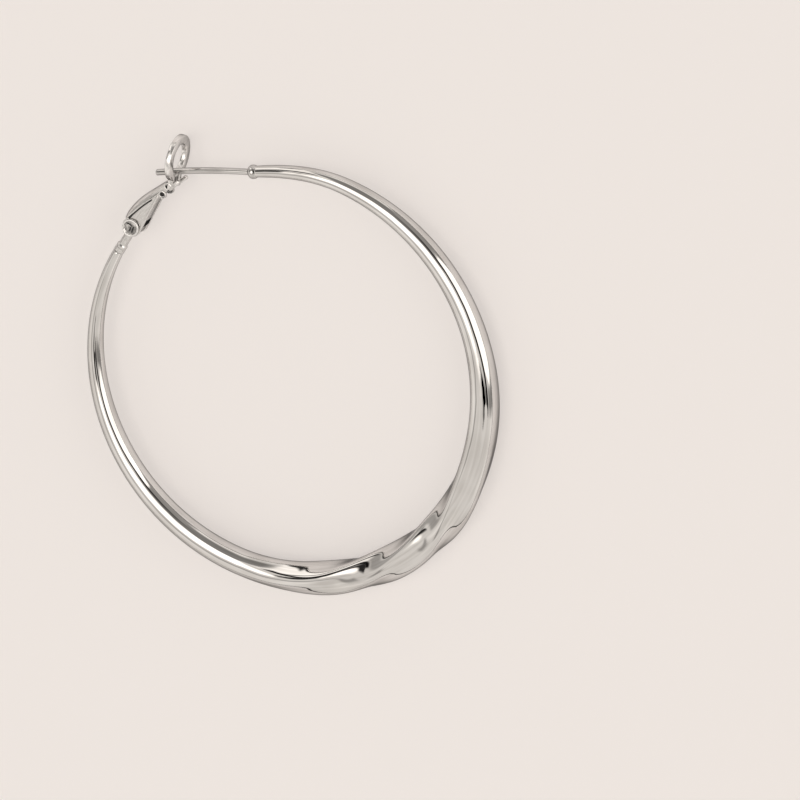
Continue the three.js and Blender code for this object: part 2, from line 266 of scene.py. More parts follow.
class Bench:
    """A workbench in millimetres, whose tools are Blender's own operators."""

    @staticmethod
    def start(primitive: Callable[..., object], **settings: object) -> Piece:
        """Adds a primitive with nothing else selected.

        Args:
            primitive: The operator that adds it.
            settings: Its size, place and cuts.

        Returns:
            The piece.
        """
        bpy.ops.object.select_all(action="DESELECT")
        primitive(**settings)
        return bpy.context.object

    @staticmethod
    def hold(*pieces: Piece) -> None:
        """Selects these pieces alone and makes the first one active.

        Args:
            pieces: The pieces.
        """
        bpy.ops.object.select_all(action="DESELECT")
        for piece in pieces:
            piece.select_set(True)
        bpy.context.view_layer.objects.active = pieces[0]

    @staticmethod
    def edit(piece: Piece) -> None:
        """Opens a piece in edit mode with all of it selected.

        Args:
            piece: The piece.
        """
        Bench.hold(piece)
        bpy.ops.object.mode_set(mode="EDIT")
        bpy.ops.mesh.select_all(action="SELECT")

    @staticmethod
    def put_down() -> None:
        """Leaves edit mode."""
        bpy.ops.object.mode_set(mode="OBJECT")

    @staticmethod
    def pick_edges(piece: Piece, wanted: Callable[[Vector, Vector], bool]) -> None:
        """Opens a piece in edit mode with the wanted edges selected.

        Args:
            piece: The piece.
            wanted: Says from an edge's two ends whether it is wanted.
        """
        Bench.edit(piece)
        bpy.ops.mesh.select_mode(type="EDGE")
        bpy.ops.mesh.select_all(action="DESELECT")
        Bench.put_down()
        places = [vertex.co for vertex in piece.data.vertices]
        for edge in piece.data.edges:
            first, last = edge.vertices
            edge.select = wanted(places[first], places[last])
        bpy.ops.object.mode_set(mode="EDIT")

    @staticmethod
    def close(piece: Piece) -> None:
        """Merges doubled points and turns all faces outwards.

        Args:
            piece: The piece.
        """
        Bench.edit(piece)
        bpy.ops.mesh.remove_doubles(threshold=MERGING_DISTANCE)
        bpy.ops.mesh.normals_make_consistent(inside=False)
        Bench.put_down()

    @staticmethod
    def soften(piece: Piece, width: float, steps: int = 3, sharpness: float = 50.0) -> None:
        """Rounds a piece's sharp edges.

        Args:
            piece: The piece.
            width: How far the rounding reaches from the edge.
            steps: How many faces it has.
            sharpness: The least angle in degrees of an edge that is rounded.
        """
        Bench.edit(piece)
        bpy.ops.mesh.select_mode(type="EDGE")
        bpy.ops.mesh.select_all(action="DESELECT")
        bpy.ops.mesh.edges_select_sharp(sharpness=math.radians(sharpness))
        bpy.ops.mesh.bevel(offset=width, segments=steps, affect="EDGES", clamp_overlap=True)
        Bench.put_down()

    @staticmethod
    def modified(piece: Piece, kind: str, **settings: object) -> None:
        """Adds a modifier and applies it.

        Args:
            piece: The piece.
            kind: The modifier's type.
            settings: Its properties.
        """
        Bench.hold(piece)
        modifier = piece.modifiers.new(kind.lower(), kind)
        for name, value in settings.items():
            setattr(modifier, name, value)
        bpy.ops.object.modifier_apply(modifier=modifier.name)

    @staticmethod
    def weld(piece: Piece, other: Piece, operation: str = "UNION") -> None:
        """Joins another solid to a piece, or cuts it out, and scraps it.

        Args:
            piece: The piece.
            other: The other solid.
            operation: UNION or DIFFERENCE.
        """
        Bench.modified(piece, "BOOLEAN", operation=operation, object=other, solver="EXACT")
        bpy.data.objects.remove(other)

    @staticmethod
    def shape(piece: Piece, moved: Callable[[np.ndarray], np.ndarray]) -> None:
        """Moves every point of a piece.

        Args:
            piece: The piece.
            moved: Gives the new places of an array of places.
        """
        places = np.zeros(len(piece.data.vertices) * 3)
        piece.data.vertices.foreach_get("co", places)
        piece.data.vertices.foreach_set("co", moved(places.reshape(-1, 3)).ravel())
        piece.data.update()

    @staticmethod
    def turned(
        profile: Sequence[Point], sides: int, drift: Callable[[float], Point] = lambda height: (0.0, 0.0)
    ) -> Piece:
        """Turns a profile round z, ring by ring.

        Args:
            profile: Radius and height of each ring. A profile that ends where it began gives a tube.
            sides: How many sides each ring has.
            drift: How far the middle of the ring at a height lies off the axis.

        Returns:
            The piece.
        """
        radius, height = profile[0]
        centre = Vector((*drift(height), height))
        is_tube = tuple(profile[0]) == tuple(profile[-1])
        piece = Bench.start(bpy.ops.mesh.primitive_circle_add, vertices=sides, radius=radius, location=centre)
        bpy.ops.object.transform_apply(location=True, rotation=True, scale=True)
        bpy.ops.object.mode_set(mode="EDIT")
        bpy.ops.mesh.select_all(action="SELECT")
        if not is_tube:
            bpy.ops.mesh.edge_face_add()
            bpy.ops.mesh.select_mode(type="EDGE")
            bpy.ops.mesh.select_all(action="SELECT")
        for next_radius, next_height in profile[1:]:
            next_centre = Vector((*drift(next_height), next_height))
            bpy.ops.mesh.extrude_edges_move(TRANSFORM_OT_translate={"value": next_centre - centre})
            grown = next_radius / radius
            bpy.ops.transform.resize(value=(grown, grown, 1.0), center_override=next_centre)
            radius, centre = next_radius, next_centre
        if not is_tube:
            bpy.ops.mesh.edge_face_add()
        Bench.put_down()
        Bench.close(piece)
        return piece

    @staticmethod
    def plate(outline: Sequence[Point], low: float, high: float) -> Piece:
        """Cuts a flat outline out of sheet.

        Args:
            outline: The outline's points, x and y.
            low: The z of the sheet's lower face.
            high: The z of its upper face.

        Returns:
            The piece.
        """
        piece = Bench.start(bpy.ops.mesh.primitive_circle_add, vertices=len(outline), fill_type="NGON")
        Bench.shape(piece, lambda places: np.array([(x, y, low) for x, y in outline]))
        Bench.edit(piece)
        bpy.ops.mesh.extrude_region_move(TRANSFORM_OT_translate={"value": (0.0, 0.0, high - low)})
        Bench.put_down()
        Bench.close(piece)
        return piece

    @staticmethod
    def sheet(cuts: tuple[int, int], bent: Callable[[np.ndarray], np.ndarray], **wall: object) -> Piece:
        """Bends a flat sheet of one by one and gives it its thickness.

        Args:
            cuts: Its faces along x and y.
            bent: Gives the bent sheet's places from the flat sheet's.
            wall: The settings of its thickness.

        Returns:
            The piece.
        """
        piece = Bench.start(
            bpy.ops.mesh.primitive_grid_add, x_subdivisions=cuts[0], y_subdivisions=cuts[1], size=1.0
        )
        Bench.shape(piece, bent)
        Bench.modified(piece, "SOLIDIFY", **wall)
        Bench.close(piece)
        return piece

    @staticmethod
    def smooth(piece: Piece, angle: float = 35.0) -> None:
        """Shades a piece smooth but for its edges.

        Args:
            piece: The piece.
            angle: The least angle in degrees of an edge that stays sharp.
        """
        Bench.hold(piece)
        bpy.ops.object.shade_smooth_by_angle(angle=math.radians(angle))


def standing(place: Vector, way: Vector) -> Matrix:
    """Stands a turned piece at a place along a direction."""
    return Matrix.Translation(place) @ UP.rotation_difference(way).to_matrix().to_4x4()


def arc(centre: Point, radius: float, start: float, end: float, steps: int) -> list[Point]:
    """Points along an arc.

    Args:
        centre: The arc's middle.
        radius: Its radius.
        start: The angle of its first point, in degrees.
        end: The angle of its last point, in degrees.
        steps: How many steps it has.

    Returns:
        The points, both ends among them.
    """
    angles = np.radians(np.linspace(start, end, steps + 1))
    return [(centre[0] + radius * math.cos(a), centre[1] + radius * math.sin(a)) for a in angles]


def circle(centre: Point, radius: float, count: int) -> list[Point]:
    """Points round a circle."""
    return arc(centre, radius, 0, 360 - 360 / count, count - 1)


def ribbon(line: Sequence[Point], width: float) -> list[Point]:
    """The outline of a strip along a line.

    Args:
        line: The line's points, x and y.
        width: The strip's width.

    Returns:
        The outline's points.
    """
    left, right = [], []
    for index, place in enumerate(line):
        before = Vector(line[max(index - 1, 0)])
        after = Vector(line[min(index + 1, len(line) - 1)])
        way = (after - before).normalized()
        side = Vector((-way.y, way.x)) * width / 2
        left.append((place[0] + side.x, place[1] + side.y))
        right.append((place[0] - side.x, place[1] - side.y))
    return [*left, *reversed(right)]


class Curve:
    """A smooth curve through a table's values, whose slope at each knot is the mean of its neighbours'."""

    def __init__(self, knots: Sequence[float], values: Sequence[float]) -> None:
        """Takes the table.

        Args:
            knots: Where the values stand, in rising order.
            values: The values.
        """
        self.knots = np.array(knots, float)
        self.values = np.array(values, float)
        secants = np.diff(self.values) / np.diff(self.knots)
        inner = 0.5 * (secants[1:] + secants[:-1])
        self.slopes = np.concatenate([secants[:1], inner, secants[-1:]])

    def at(self, place: np.ndarray) -> np.ndarray:
        """Values at some places, held at both ends.

        Args:
            place: The places.

        Returns:
            The values.
        """
        place = np.clip(place, self.knots[0], self.knots[-1])
        index = np.clip(np.searchsorted(self.knots, place, side="right") - 1, 0, len(self.knots) - 2)
        span = self.knots[index + 1] - self.knots[index]
        part = (place - self.knots[index]) / span
        first, last = self.values[index], self.values[index + 1]
        leaving, arriving = self.slopes[index] * span, self.slopes[index + 1] * span
        bend = (2 * first - 2 * last + leaving + arriving) * part**3
        lean = (-3 * first + 3 * last - 2 * leaving - arriving) * part**2
        return bend + lean + leaving * part + first

    def value(self, place: float) -> float:
        """The value at one place."""
        return float(self.at(np.array([place]))[0])


# Finishes.
class Grain(Enum):
    """How a polished surface was worked, with the grain's spots along each of its three directions."""

    BUFFED_ALONG_HOOP = (2.2, 2600.0, 2600.0)
    DRAWN = (160.0, 5200.0, 5200.0)
    TUMBLED = (2400.0, 2400.0, 2400.0)
    ROLLED = (700.0, 4200.0, 900.0)


@dataclass(frozen=True)
class SilverTone:
    """A silver-tone plating over brass, polished until it mirrors the room.

    Scales are in spots per metre, and the depths of ripple and relief are in metres.
    """

    slot: str
    grain: Grain
    bright: Point = (0.76, 0.75, 0.74)
    dull: Point = (0.62, 0.605, 0.59)
    roughness: float = 0.02
    haze: float = 0.05
    ripple: float = 0.0
    edge: Point = (0.25, 0.25, 0.25)
    label: str = "silver"
    cloud_scale: float = 190.0
    pit_scale: float = 5200.0
    ripple_scale: float = 240.0
    relief: float = 0.000012
    relief_strength: float = 0.12
    dull_between: Point = (0.36, 0.66)
    streaked_between: Point = (0.42, 0.72)
    pitted_between: Point = (0.5, 0.78)
    streak_share: float = 0.55
    streak_relief: float = 0.7

    def material(self, lay: Lay) -> bpy.types.Material:
        """Makes the finish's material.

        Args:
            lay: Where the hoop lies.

        Returns:
            The material.
        """
        made, board = blank_material(f"{self.slot}_{self.label}")
        place = board.node("ShaderNodeTexCoord", {}, {}, "Object")
        streaks = board.noise(self._worked(board, place, lay), 1.0, 3.0)
        clouds = board.noise(place, self.cloud_scale, 2.0)
        pits = board.noise(place, self.pit_scale, 1.0)
        cloud_share = 1 - self.streak_share
        dullness = (clouds * cloud_share + streaks * self.streak_share).eased(*self.dull_between)
        streaked = streaks.eased(*self.streaked_between) * self.streak_share
        pitted = pits.eased(*self.pitted_between) * cloud_share
        relief = streaks * self.streak_relief + pits * (1 - self.streak_relief)
        grain = {"Strength": self.relief_strength, "Distance": self.relief, "Height": relief}
        waves = board.noise(place, self.ripple_scale, 1.0)
        bump = board.node("ShaderNodeBump", {}, grain)
        rippled = {"Strength": 1.0, "Distance": self.ripple, "Height": waves, "Normal": bump}
        sockets = {
            "Base Color": board.tint(dullness, self.bright, self.dull),
            "Metallic": 1.0,
            "Roughness": (streaked + pitted) * self.haze + self.roughness,
            "Specular Tint": (*self.edge, 1.0),
            "Normal": board.node("ShaderNodeBump", {}, rippled),
        }
        shader = board.node("ShaderNodeBsdfPrincipled", {}, sockets)
        board.node("ShaderNodeOutputMaterial", {}, {"Surface": shader})
        return made

    def _worked(self, board: Board, place: Wire, lay: Lay) -> Wire:
        """Stretches the noise's space the way that the metal was worked.

        Args:
            board: The material's board.
            place: The place on the piece, in metres.
            lay: Where the hoop lies.

        Returns:
            The stretched place.
        """
        x, y, z = board.axes(place)
        if self.grain is Grain.BUFFED_ALONG_HOOP:
            across = x - lay.origin.x
            along = y - lay.origin.y
            reach = (across * across + along * along).root()
            x, y, z = along.direction(across), reach - HOOP_RADIUS * MILLIMETRE, z - lay.origin.z
        elif self.grain is Grain.ROLLED:
            x, y = x + y, x - y
        scales = self.grain.value
        return board.vector(x * scales[0], y * scales[1], z * scales[2])


# Painted shade: a near-black finish that stands in for the shade down in hollows and gaps.
def recess(slot: str) -> SilverTone:
    """Near-black metal for pieces laid in a part's hollows and gaps: painted shade."""
    return SilverTone(slot, Grain.TUMBLED, (0.1, 0.097, 0.095), (0.05, 0.05, 0.05), 0.4, label="recess")


TUBE_FINISH = SilverTone("polished_tube", Grain.BUFFED_ALONG_HOOP, ripple=0.00006)
POST_FINISH = SilverTone("polished_post", Grain.DRAWN, (0.66, 0.65, 0.64), (0.48, 0.47, 0.46), 0.03)
KNUCKLE_FINISH = SilverTone("cast_knuckle", Grain.TUMBLED, roughness=0.2, haze=0.1, ripple=0.0001)
RIVET_FINISH = SilverTone("rolled_rivet", Grain.TUMBLED, (0.95, 0.94, 0.93), (0.86, 0.85, 0.84), 0.2)
# Painted shade: the tongue is a darker copy of the rivet's metal, for the shade down in the rivet's mouth.
SHADED_TONGUE_FINISH = SilverTone(
    "rolled_rivet", Grain.TUMBLED, (0.46, 0.45, 0.44), (0.24, 0.235, 0.23), 0.25, label="tongue"
)
LEVER_FINISH = SilverTone("stamped_lever", Grain.ROLLED, (0.88, 0.87, 0.86), (0.72, 0.705, 0.69), 0.17, 0.1)
# Painted light: the spring's base colour is raised to offset the shade in the narrow gap between the cheeks.
SPRING_FINISH = SilverTone("spring_strip", Grain.ROLLED, (0.9, 0.89, 0.88), (0.74, 0.73, 0.72), 0.25, 0.1)


@dataclass
class SubAssembly:
    """Pieces that stand for one node, ride on one body and are laid with the hoop."""

    lay: Lay
    node: str
    body: str = "hoop"
    made: dict[SilverTone, bpy.types.Material] = field(default_factory=dict)

    def local(self) -> Matrix:
        """From the sub-assembly's own frame to the hoop's plane."""
        return Matrix.Identity(4)

    def dressed(self, finish: SilverTone) -> bpy.types.Material:
        """The finish's material, made once for the sub-assembly.

        Args:
            finish: The finish.

        Returns:
            Its material.
        """
        if finish not in self.made:
            self.made[finish] = finish.material(self.lay)
        return self.made[finish]

    def lay_down(self, piece: Piece, name: str, finish: SilverTone) -> None:
        """Names, dresses and places a finished piece, and says what it stands for.

        Args:
            piece: The piece.
            name: Its name.
            finish: Its finish.
        """
        piece.name = name
        piece.data.name = name
        Bench.hold(piece)
        bpy.ops.object.transform_apply(location=True, rotation=True, scale=True)
        piece.data.transform(self.lay.matrix() @ self.local())
        piece.data.materials.clear()
        piece.data.materials.append(self.dressed(finish))
        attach(piece, self.body)
        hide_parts(self.node)
        LOG.info("%s stands for %s, %d faces", name, self.node, len(piece.data.polygons))


# The tube.
@dataclass(frozen=True)
class Tube:
    """The tapered tube: its middle line, its width and its section, whose corners turn along the thick side.

    Lengths are in millimetres and angles in degrees. The last five tables go together, column by column.
    """

    radius: float = HOOP_RADIUS
    clip_end: float = -212.8
    post_end: float = 95.7
    thick_side: float = -57.5
    thin_width: float = 1.42
    thick_width: float = 3.9
    taper_reach: float = 155.3
    taper_power: float = 1.8
    straightened_from: float = 70.0
    straightened_by: float = 0.5
    sides: int = 96
    cuts: tuple[int, ...] = (19, 24)
    edge: float = 0.05
    angles: Point = (-108, -94, -84, -72, -62, -51, -41, -29, -20, -6, 12, 24)
    turns: Point = (84, 90, 107, 145, 184, 219, 262, 297, 306, 309, 310, 310)
    powers: Point = (2, 2.8, 3.6, 3.6, 3.6, 3.6, 3.6, 3.6, 3.4, 2.8, 2.1, 2)
    swells: Point = (0, 0.05, 0.15, 0.2, 0.22, 0.26, 0.12, 0.2, 0.18, 0.18, 0.1, 0.06)
    bulges: Point = (0, 0, 0.02, 0.1, 0.17, 0.22, 0.26, 0.13, 0.02, 0, 0, 0)

    def middle_radius(self, angle: np.ndarray) -> np.ndarray:
        """How far the tube's middle lies from the hoop's, at angles in degrees.

        Args:
            angle: The angles.

        Returns:
            The distance at each.
        """
        part = np.clip((angle - self.straightened_from) / (self.post_end - self.straightened_from), 0, 1)
        plain = self.radius + Curve(self.angles, self.bulges).at(angle)
        return plain - self.straightened_by * part**2 * (3 - 2 * part)

    def width(self, angle: np.ndarray) -> np.ndarray:
        """The tube's width at angles in degrees.

        Args:
            angle: The angles.

        Returns:
            The width at each.
        """
        taper = np.abs((angle - self.thick_side) / self.taper_reach) ** self.taper_power
        plain = self.thick_width + (self.thin_width - self.thick_width) * taper
        return plain + Curve(self.angles, self.swells).at(angle)

    def wrapped(self, bar: np.ndarray) -> np.ndarray:
        """Bends a straight bar round the hoop, and squares and turns its section.

        Args:
            bar: Places on a bar of radius 1 along z, from -0.5 to 0.5.

        Returns:
            The places on the tube.
        """
        angle = self.clip_end + (self.post_end - self.clip_end) * (bar[:, 2] + 0.5)
        direction = np.arctan2(bar[:, 1], bar[:, 0])
        power = Curve(self.angles, self.powers).at(angle)
        across = np.abs(np.cos(direction + math.pi / 4)) ** power
        along = np.abs(np.sin(direction + math.pi / 4)) ** power
        reach = 0.5 * self.width(angle) * np.hypot(bar[:, 0], bar[:, 1]) * (across + along) ** (-1 / power)
        turned = direction + np.radians(Curve(self.angles, self.turns).at(angle))
        radius = self.middle_radius(angle) + reach * np.cos(turned)
        place = np.radians(angle)
        return np.stack([radius * np.cos(place), radius * np.sin(place), reach * np.sin(turned)], axis=1)

    def middle(self, angle: float) -> Vector:
        """The middle of the tube at an angle in degrees."""
        radius = float(self.middle_radius(np.array([angle]))[0])
        return Vector((radius * math.cos(math.radians(angle)), radius * math.sin(math.radians(angle)), 0.0))


TUBE = Tube()


@dataclass
class Hoop(SubAssembly):
    """The twisted tube of the hoop."""

    node: str = "hoop_tube"
    tube: Tube = TUBE

    def build(self) -> None:
        """Cuts a bar into many lengths, wraps it round the hoop and rounds its ends."""
        sides = self.tube.sides
        bar = Bench.start(bpy.ops.mesh.primitive_cylinder_add, vertices=sides, radius=1.0, depth=1.0)
        for cuts in self.tube.cuts:
            Bench.pick_edges(bar, lambda first, last: abs(first.z - last.z) > MERGING_DISTANCE)
            bpy.ops.mesh.subdivide(number_cuts=cuts)
            Bench.put_down()
        Bench.shape(bar, self.tube.wrapped)
        Bench.close(bar)
        Bench.soften(bar, self.tube.edge, steps=2, sharpness=60.0)
        Bench.smooth(bar, 50.0)
        self.lay_down(bar, "twisted_tube", TUBE_FINISH)


# The ear post.
@dataclass
class EarPost(SubAssembly):
    """The straight wire through the ear, and the bead that it is soldered into."""

    node: str = "ear_post"
    root: Point = (-3.77, 27.52, 0.0)
    tip: Point = (-17.37, 26.61, 0.0)
    radius: float = 0.425
    bow: float = 0.24
    sunk: float = 0.45
    round_tip: float = 0.16
    wire_sides: int = 40
    wire_rings: int = 25
    tip_angles: Point = (22.5, 45.0, 67.5, 90.0)
    # Height above the tube's end and radius of the bead.
    swell: Table = (
        (-0.2, 0.745), (-0.1, 0.78), (0.1, 0.9), (0.38, 0.955), (0.65, 0.92), (0.9, 0.76), (1.02, 0.6)
    )
    bead_edge: float = 0.06
    bead_sides: int = 48
    bead_rings: int = 19
    # Radius of the solder over the wire's and its height above the root.
    solder: Table = ((0.17, 0.02), (0.06, 0.07), (0.01, 0.12))

    def build(self) -> None:
        """Turns the bead and the wire and solders them together."""
        tube_end = TUBE.middle(TUBE.post_end)
        line = Vector(self.root) - tube_end
        swell = Curve(*zip(*self.swell))
        foot, foot_radius = self.swell[0]
        heights = np.linspace(foot, line.length, self.bead_rings)
        rounds = [(swell.value(height), float(height)) for height in heights]
        fillet = [(self.radius + over, line.length + height) for over, height in self.solder]
        bead = Bench.turned([(foot_radius - self.bead_edge, foot), *rounds, *fillet], self.bead_sides)
        bead.data.transform(standing(tube_end, line))
        Bench.weld(bead, self._wire())
        Bench.smooth(bead)
        self.lay_down(bead, "ear_post_and_bead", POST_FINISH)

    def _wire(self) -> Piece:
        """Draws the wire with its slight bow and its rounded tip.

        Returns:
            The wire.
        """
        line = (Vector(self.tip) - Vector(self.root)).normalized()
        start = Vector(self.root) - line * self.sunk
        length = (Vector(self.tip) - start).length
        sideways = UP.rotation_difference(line).inverted() @ Vector((line.y, -line.x, 0.0))

        def drift(height: float) -> Point:
            """The bow of the wire at a height.

            Args:
                height: The height.

            Returns:
                How far its middle lies aside, x and y.
            """
            part = min(max(height / length, 0.0), 1.0)
            reach = 4 * self.bow * part * (1 - part)
            return (sideways.x * reach, sideways.y * reach)

        heights = np.linspace(0.0, length - self.round_tip, self.wire_rings)
        tip = [
            (self.radius - self.round_tip * (1 - math.cos(a)), length - self.round_tip * (1 - math.sin(a)))
            for a in np.radians(self.tip_angles)
        ]
        profile = [*((self.radius, float(height)) for height in heights), *tip]
        wire = Bench.turned(profile, self.wire_sides, drift)
        wire.data.transform(standing(start, line))
        return wire


# The hinge.
@dataclass
class AtHinge(SubAssembly):
    """Pieces that are modelled round the hinge."""

    drill_reach: float = 3.0
    drill_sides: int = 64

    def local(self) -> Matrix:
        """From the hinge's frame to the hoop's plane."""
        return Matrix.Translation(HINGE)

    def drill(self, piece: Piece, radius: float) -> None:
        """Drills a piece along the hinge's line."""
        bit = Bench.turned([(radius, -self.drill_reach), (radius, self.drill_reach)], self.drill_sides)
        Bench.weld(piece, bit, "DIFFERENCE")


@dataclass
class Knuckle(AtHinge):
    """The barrel that the clip turns round, on a stem that is set into the tube's end."""

    node: str = "hinge_knuckle"
    barrel_radius: float = 1.2
    barrel_half_width: float = 0.85
    barrel_sides: int = 64
    barrel_edge: float = 0.1
    eye_radius: float = 0.94
    drill_reach: float = 2.0
    stem_radius: float = 0.57
    stem_sides: int = 40
    # Radius over the stem's and height above the hinge.
    waist: Table = ((0.05, 0.75), (0.05, 1.1), (0.01, 1.32), (0.0, 1.5))
    ferrule_radius: float = 0.73
    ferrule_length: float = 1.25
    # Radius over the ferrule's and height above its foot: a ridge and a groove.
    rolled: Table = (
        (-0.13, 0.03), (-0.03, 0.16), (0.0, 0.2), (0.0, 0.42), (-0.1, 0.48), (-0.1, 0.56), (0.0, 0.62)
    )
    rim: float = 0.06
    seam: float = 0.06

    def build(self) -> None:
        """Turns the barrel and the stem, joins them and drills the eye."""
        line = TUBE.middle(TUBE.clip_end) - HINGE
        width = self.barrel_half_width
        barrel = Bench.turned([(self.barrel_radius, -width), (self.barrel_radius, width)], self.barrel_sides)
        Bench.soften(barrel, self.barrel_edge)
        stem = Bench.turned(self._stem(line.length - self.seam), self.stem_sides)
        stem.data.transform(standing(Vector(), line))
        Bench.weld(barrel, stem)
        self.drill(barrel, self.eye_radius)
        Bench.smooth(barrel)
        self.lay_down(barrel, "hinge_barrel_and_stem", KNUCKLE_FINISH)

    def _stem(self, length: float) -> list[Point]:
        """The stem's profile: a waist, then the ferrule with its rolled edges.

        Args:
            length: How far the stem's end lies from the hinge.

        Returns:
            Radius and height of each ring.
        """
        foot = length - self.ferrule_length
        neck, collar = self.stem_radius, self.ferrule_radius
        waist = [(neck + over, height) for over, height in self.waist]
        rolled = [(collar + over, foot + height) for over, height in self.rolled]
        return [*waist, (neck, foot), *rolled, (collar, length - self.rim), (collar - self.rim, length)]


@dataclass
class Rivet(AtHinge):
    """The hollow rivet, rolled out into a head at each end, with the folded end of its sheet in the bore."""

    node: str = "hinge_rivet"
    sides: int = 72
    bore: float = 0.68
    bore_half_length: float = 0.4
    shaft: float = 0.86
    mouth: float = 0.93
    head: float = 1.2
    half_length: float = 1.72
    head_seat: float = 1.38
    flare: float = 0.45
    flare_power: float = 1.6
    flare_parts: Point = (0.0, 0.15, 0.3, 0.45, 0.6, 0.75, 0.9)
    lip_round: float = 0.06
    seat_round: float = 0.06
    tongue_radius: float = 0.87
    tongue_low: float = 1.47
    tongue_high: float = 1.57
    tongue_edge: float = 0.03
    tongue_points: int = 48
    slits: tuple[Table, ...] = (
        ((-0.52, 0.58), (-0.24, 0.62), (0.06, 0.44), (0.26, 0.24)),
        ((0.5, 0.2), (0.36, -0.16), (0.1, -0.64)),
        ((0.06, 0.1), (-0.04, -0.18), (-0.24, -0.48)),
    )
    slit_width: float = 0.22
    overcut: float = 0.5
    # The disc of painted shade in the rivet's mouth: its radius and its lower and upper face.
    recess_radius: float = 0.85
    recess_low: float = 1.1
    recess_high: float = 1.535

    def build(self) -> None:
        """Turns the rivet, cuts the slit tongue that sits in its mouth and lays a disc of painted shade under
        it.
        """
        half = self._half()
        ring = [(radius, -height) for radius, height in half] + list(reversed(half))
        rivet = Bench.turned([*ring, ring[0]], self.sides)
        Bench.smooth(rivet, 50.0)
        self.lay_down(rivet, "hollow_rivet", RIVET_FINISH)
        disc = circle((0.0, 0.0), self.tongue_radius, self.tongue_points)
        tongue = Bench.plate(disc, self.tongue_low, self.tongue_high)
        for slit in self.slits:
            outline = ribbon(slit, self.slit_width)
            opening = Bench.plate(outline, self.tongue_low - self.overcut, self.tongue_high + self.overcut)
            Bench.weld(tongue, opening, "DIFFERENCE")
        Bench.soften(tongue, self.tongue_edge, steps=2)
        Bench.smooth(tongue)
        self.lay_down(tongue, "rivet_tongue", SHADED_TONGUE_FINISH)
        # A near-black disc under the tongue: painted shade down in the rivet's mouth.
        disc = circle((0.0, 0.0), self.recess_radius, self.tongue_points)
        floor = Bench.plate(disc, self.recess_low, self.recess_high)
        self.lay_down(floor, "rivet_recess_shade", recess("rolled_rivet"))

    def _half(self) -> list[Point]:
        """Half the rivet's profile, from the middle of the bore over the rolled lip to the shaft.

        Returns:
            Radius and height of each ring.
        """
        lip, roll, seat = self.half_length, self.lip_round, self.seat_round
        widening = self.mouth - self.bore
        mouth = [
            (self.bore + widening * part**self.flare_power, lip - roll - self.flare * (1 - part))
            for part in self.flare_parts
        ]
        inner_edge = arc((self.mouth + roll, lip - roll), roll, 180, 90, 4)
        outer_edge = arc((self.head - roll, lip - roll), roll, 90, 0, 4)
        foot = arc((self.head - seat, self.head_seat + seat), seat, 0, -90, 3)
        middle = (self.bore, self.bore_half_length)
        return [middle, *mouth, *inner_edge, *outer_edge, *foot, (self.shaft, self.head_seat)]


# The clip.
@dataclass
class Clip(AtHinge):
    """The sprung clip in its own frame: the hinge is its origin and x runs along the lever."""

    node: str = "clip_lever"
    body: str = "clip"
    lever_angle: float = 45.9

    def local(self) -> Matrix:
        """From the clip's frame to the hoop's plane."""
        return Matrix.Translation(HINGE) @ Matrix.Rotation(math.radians(self.lever_angle), 4, "Z")


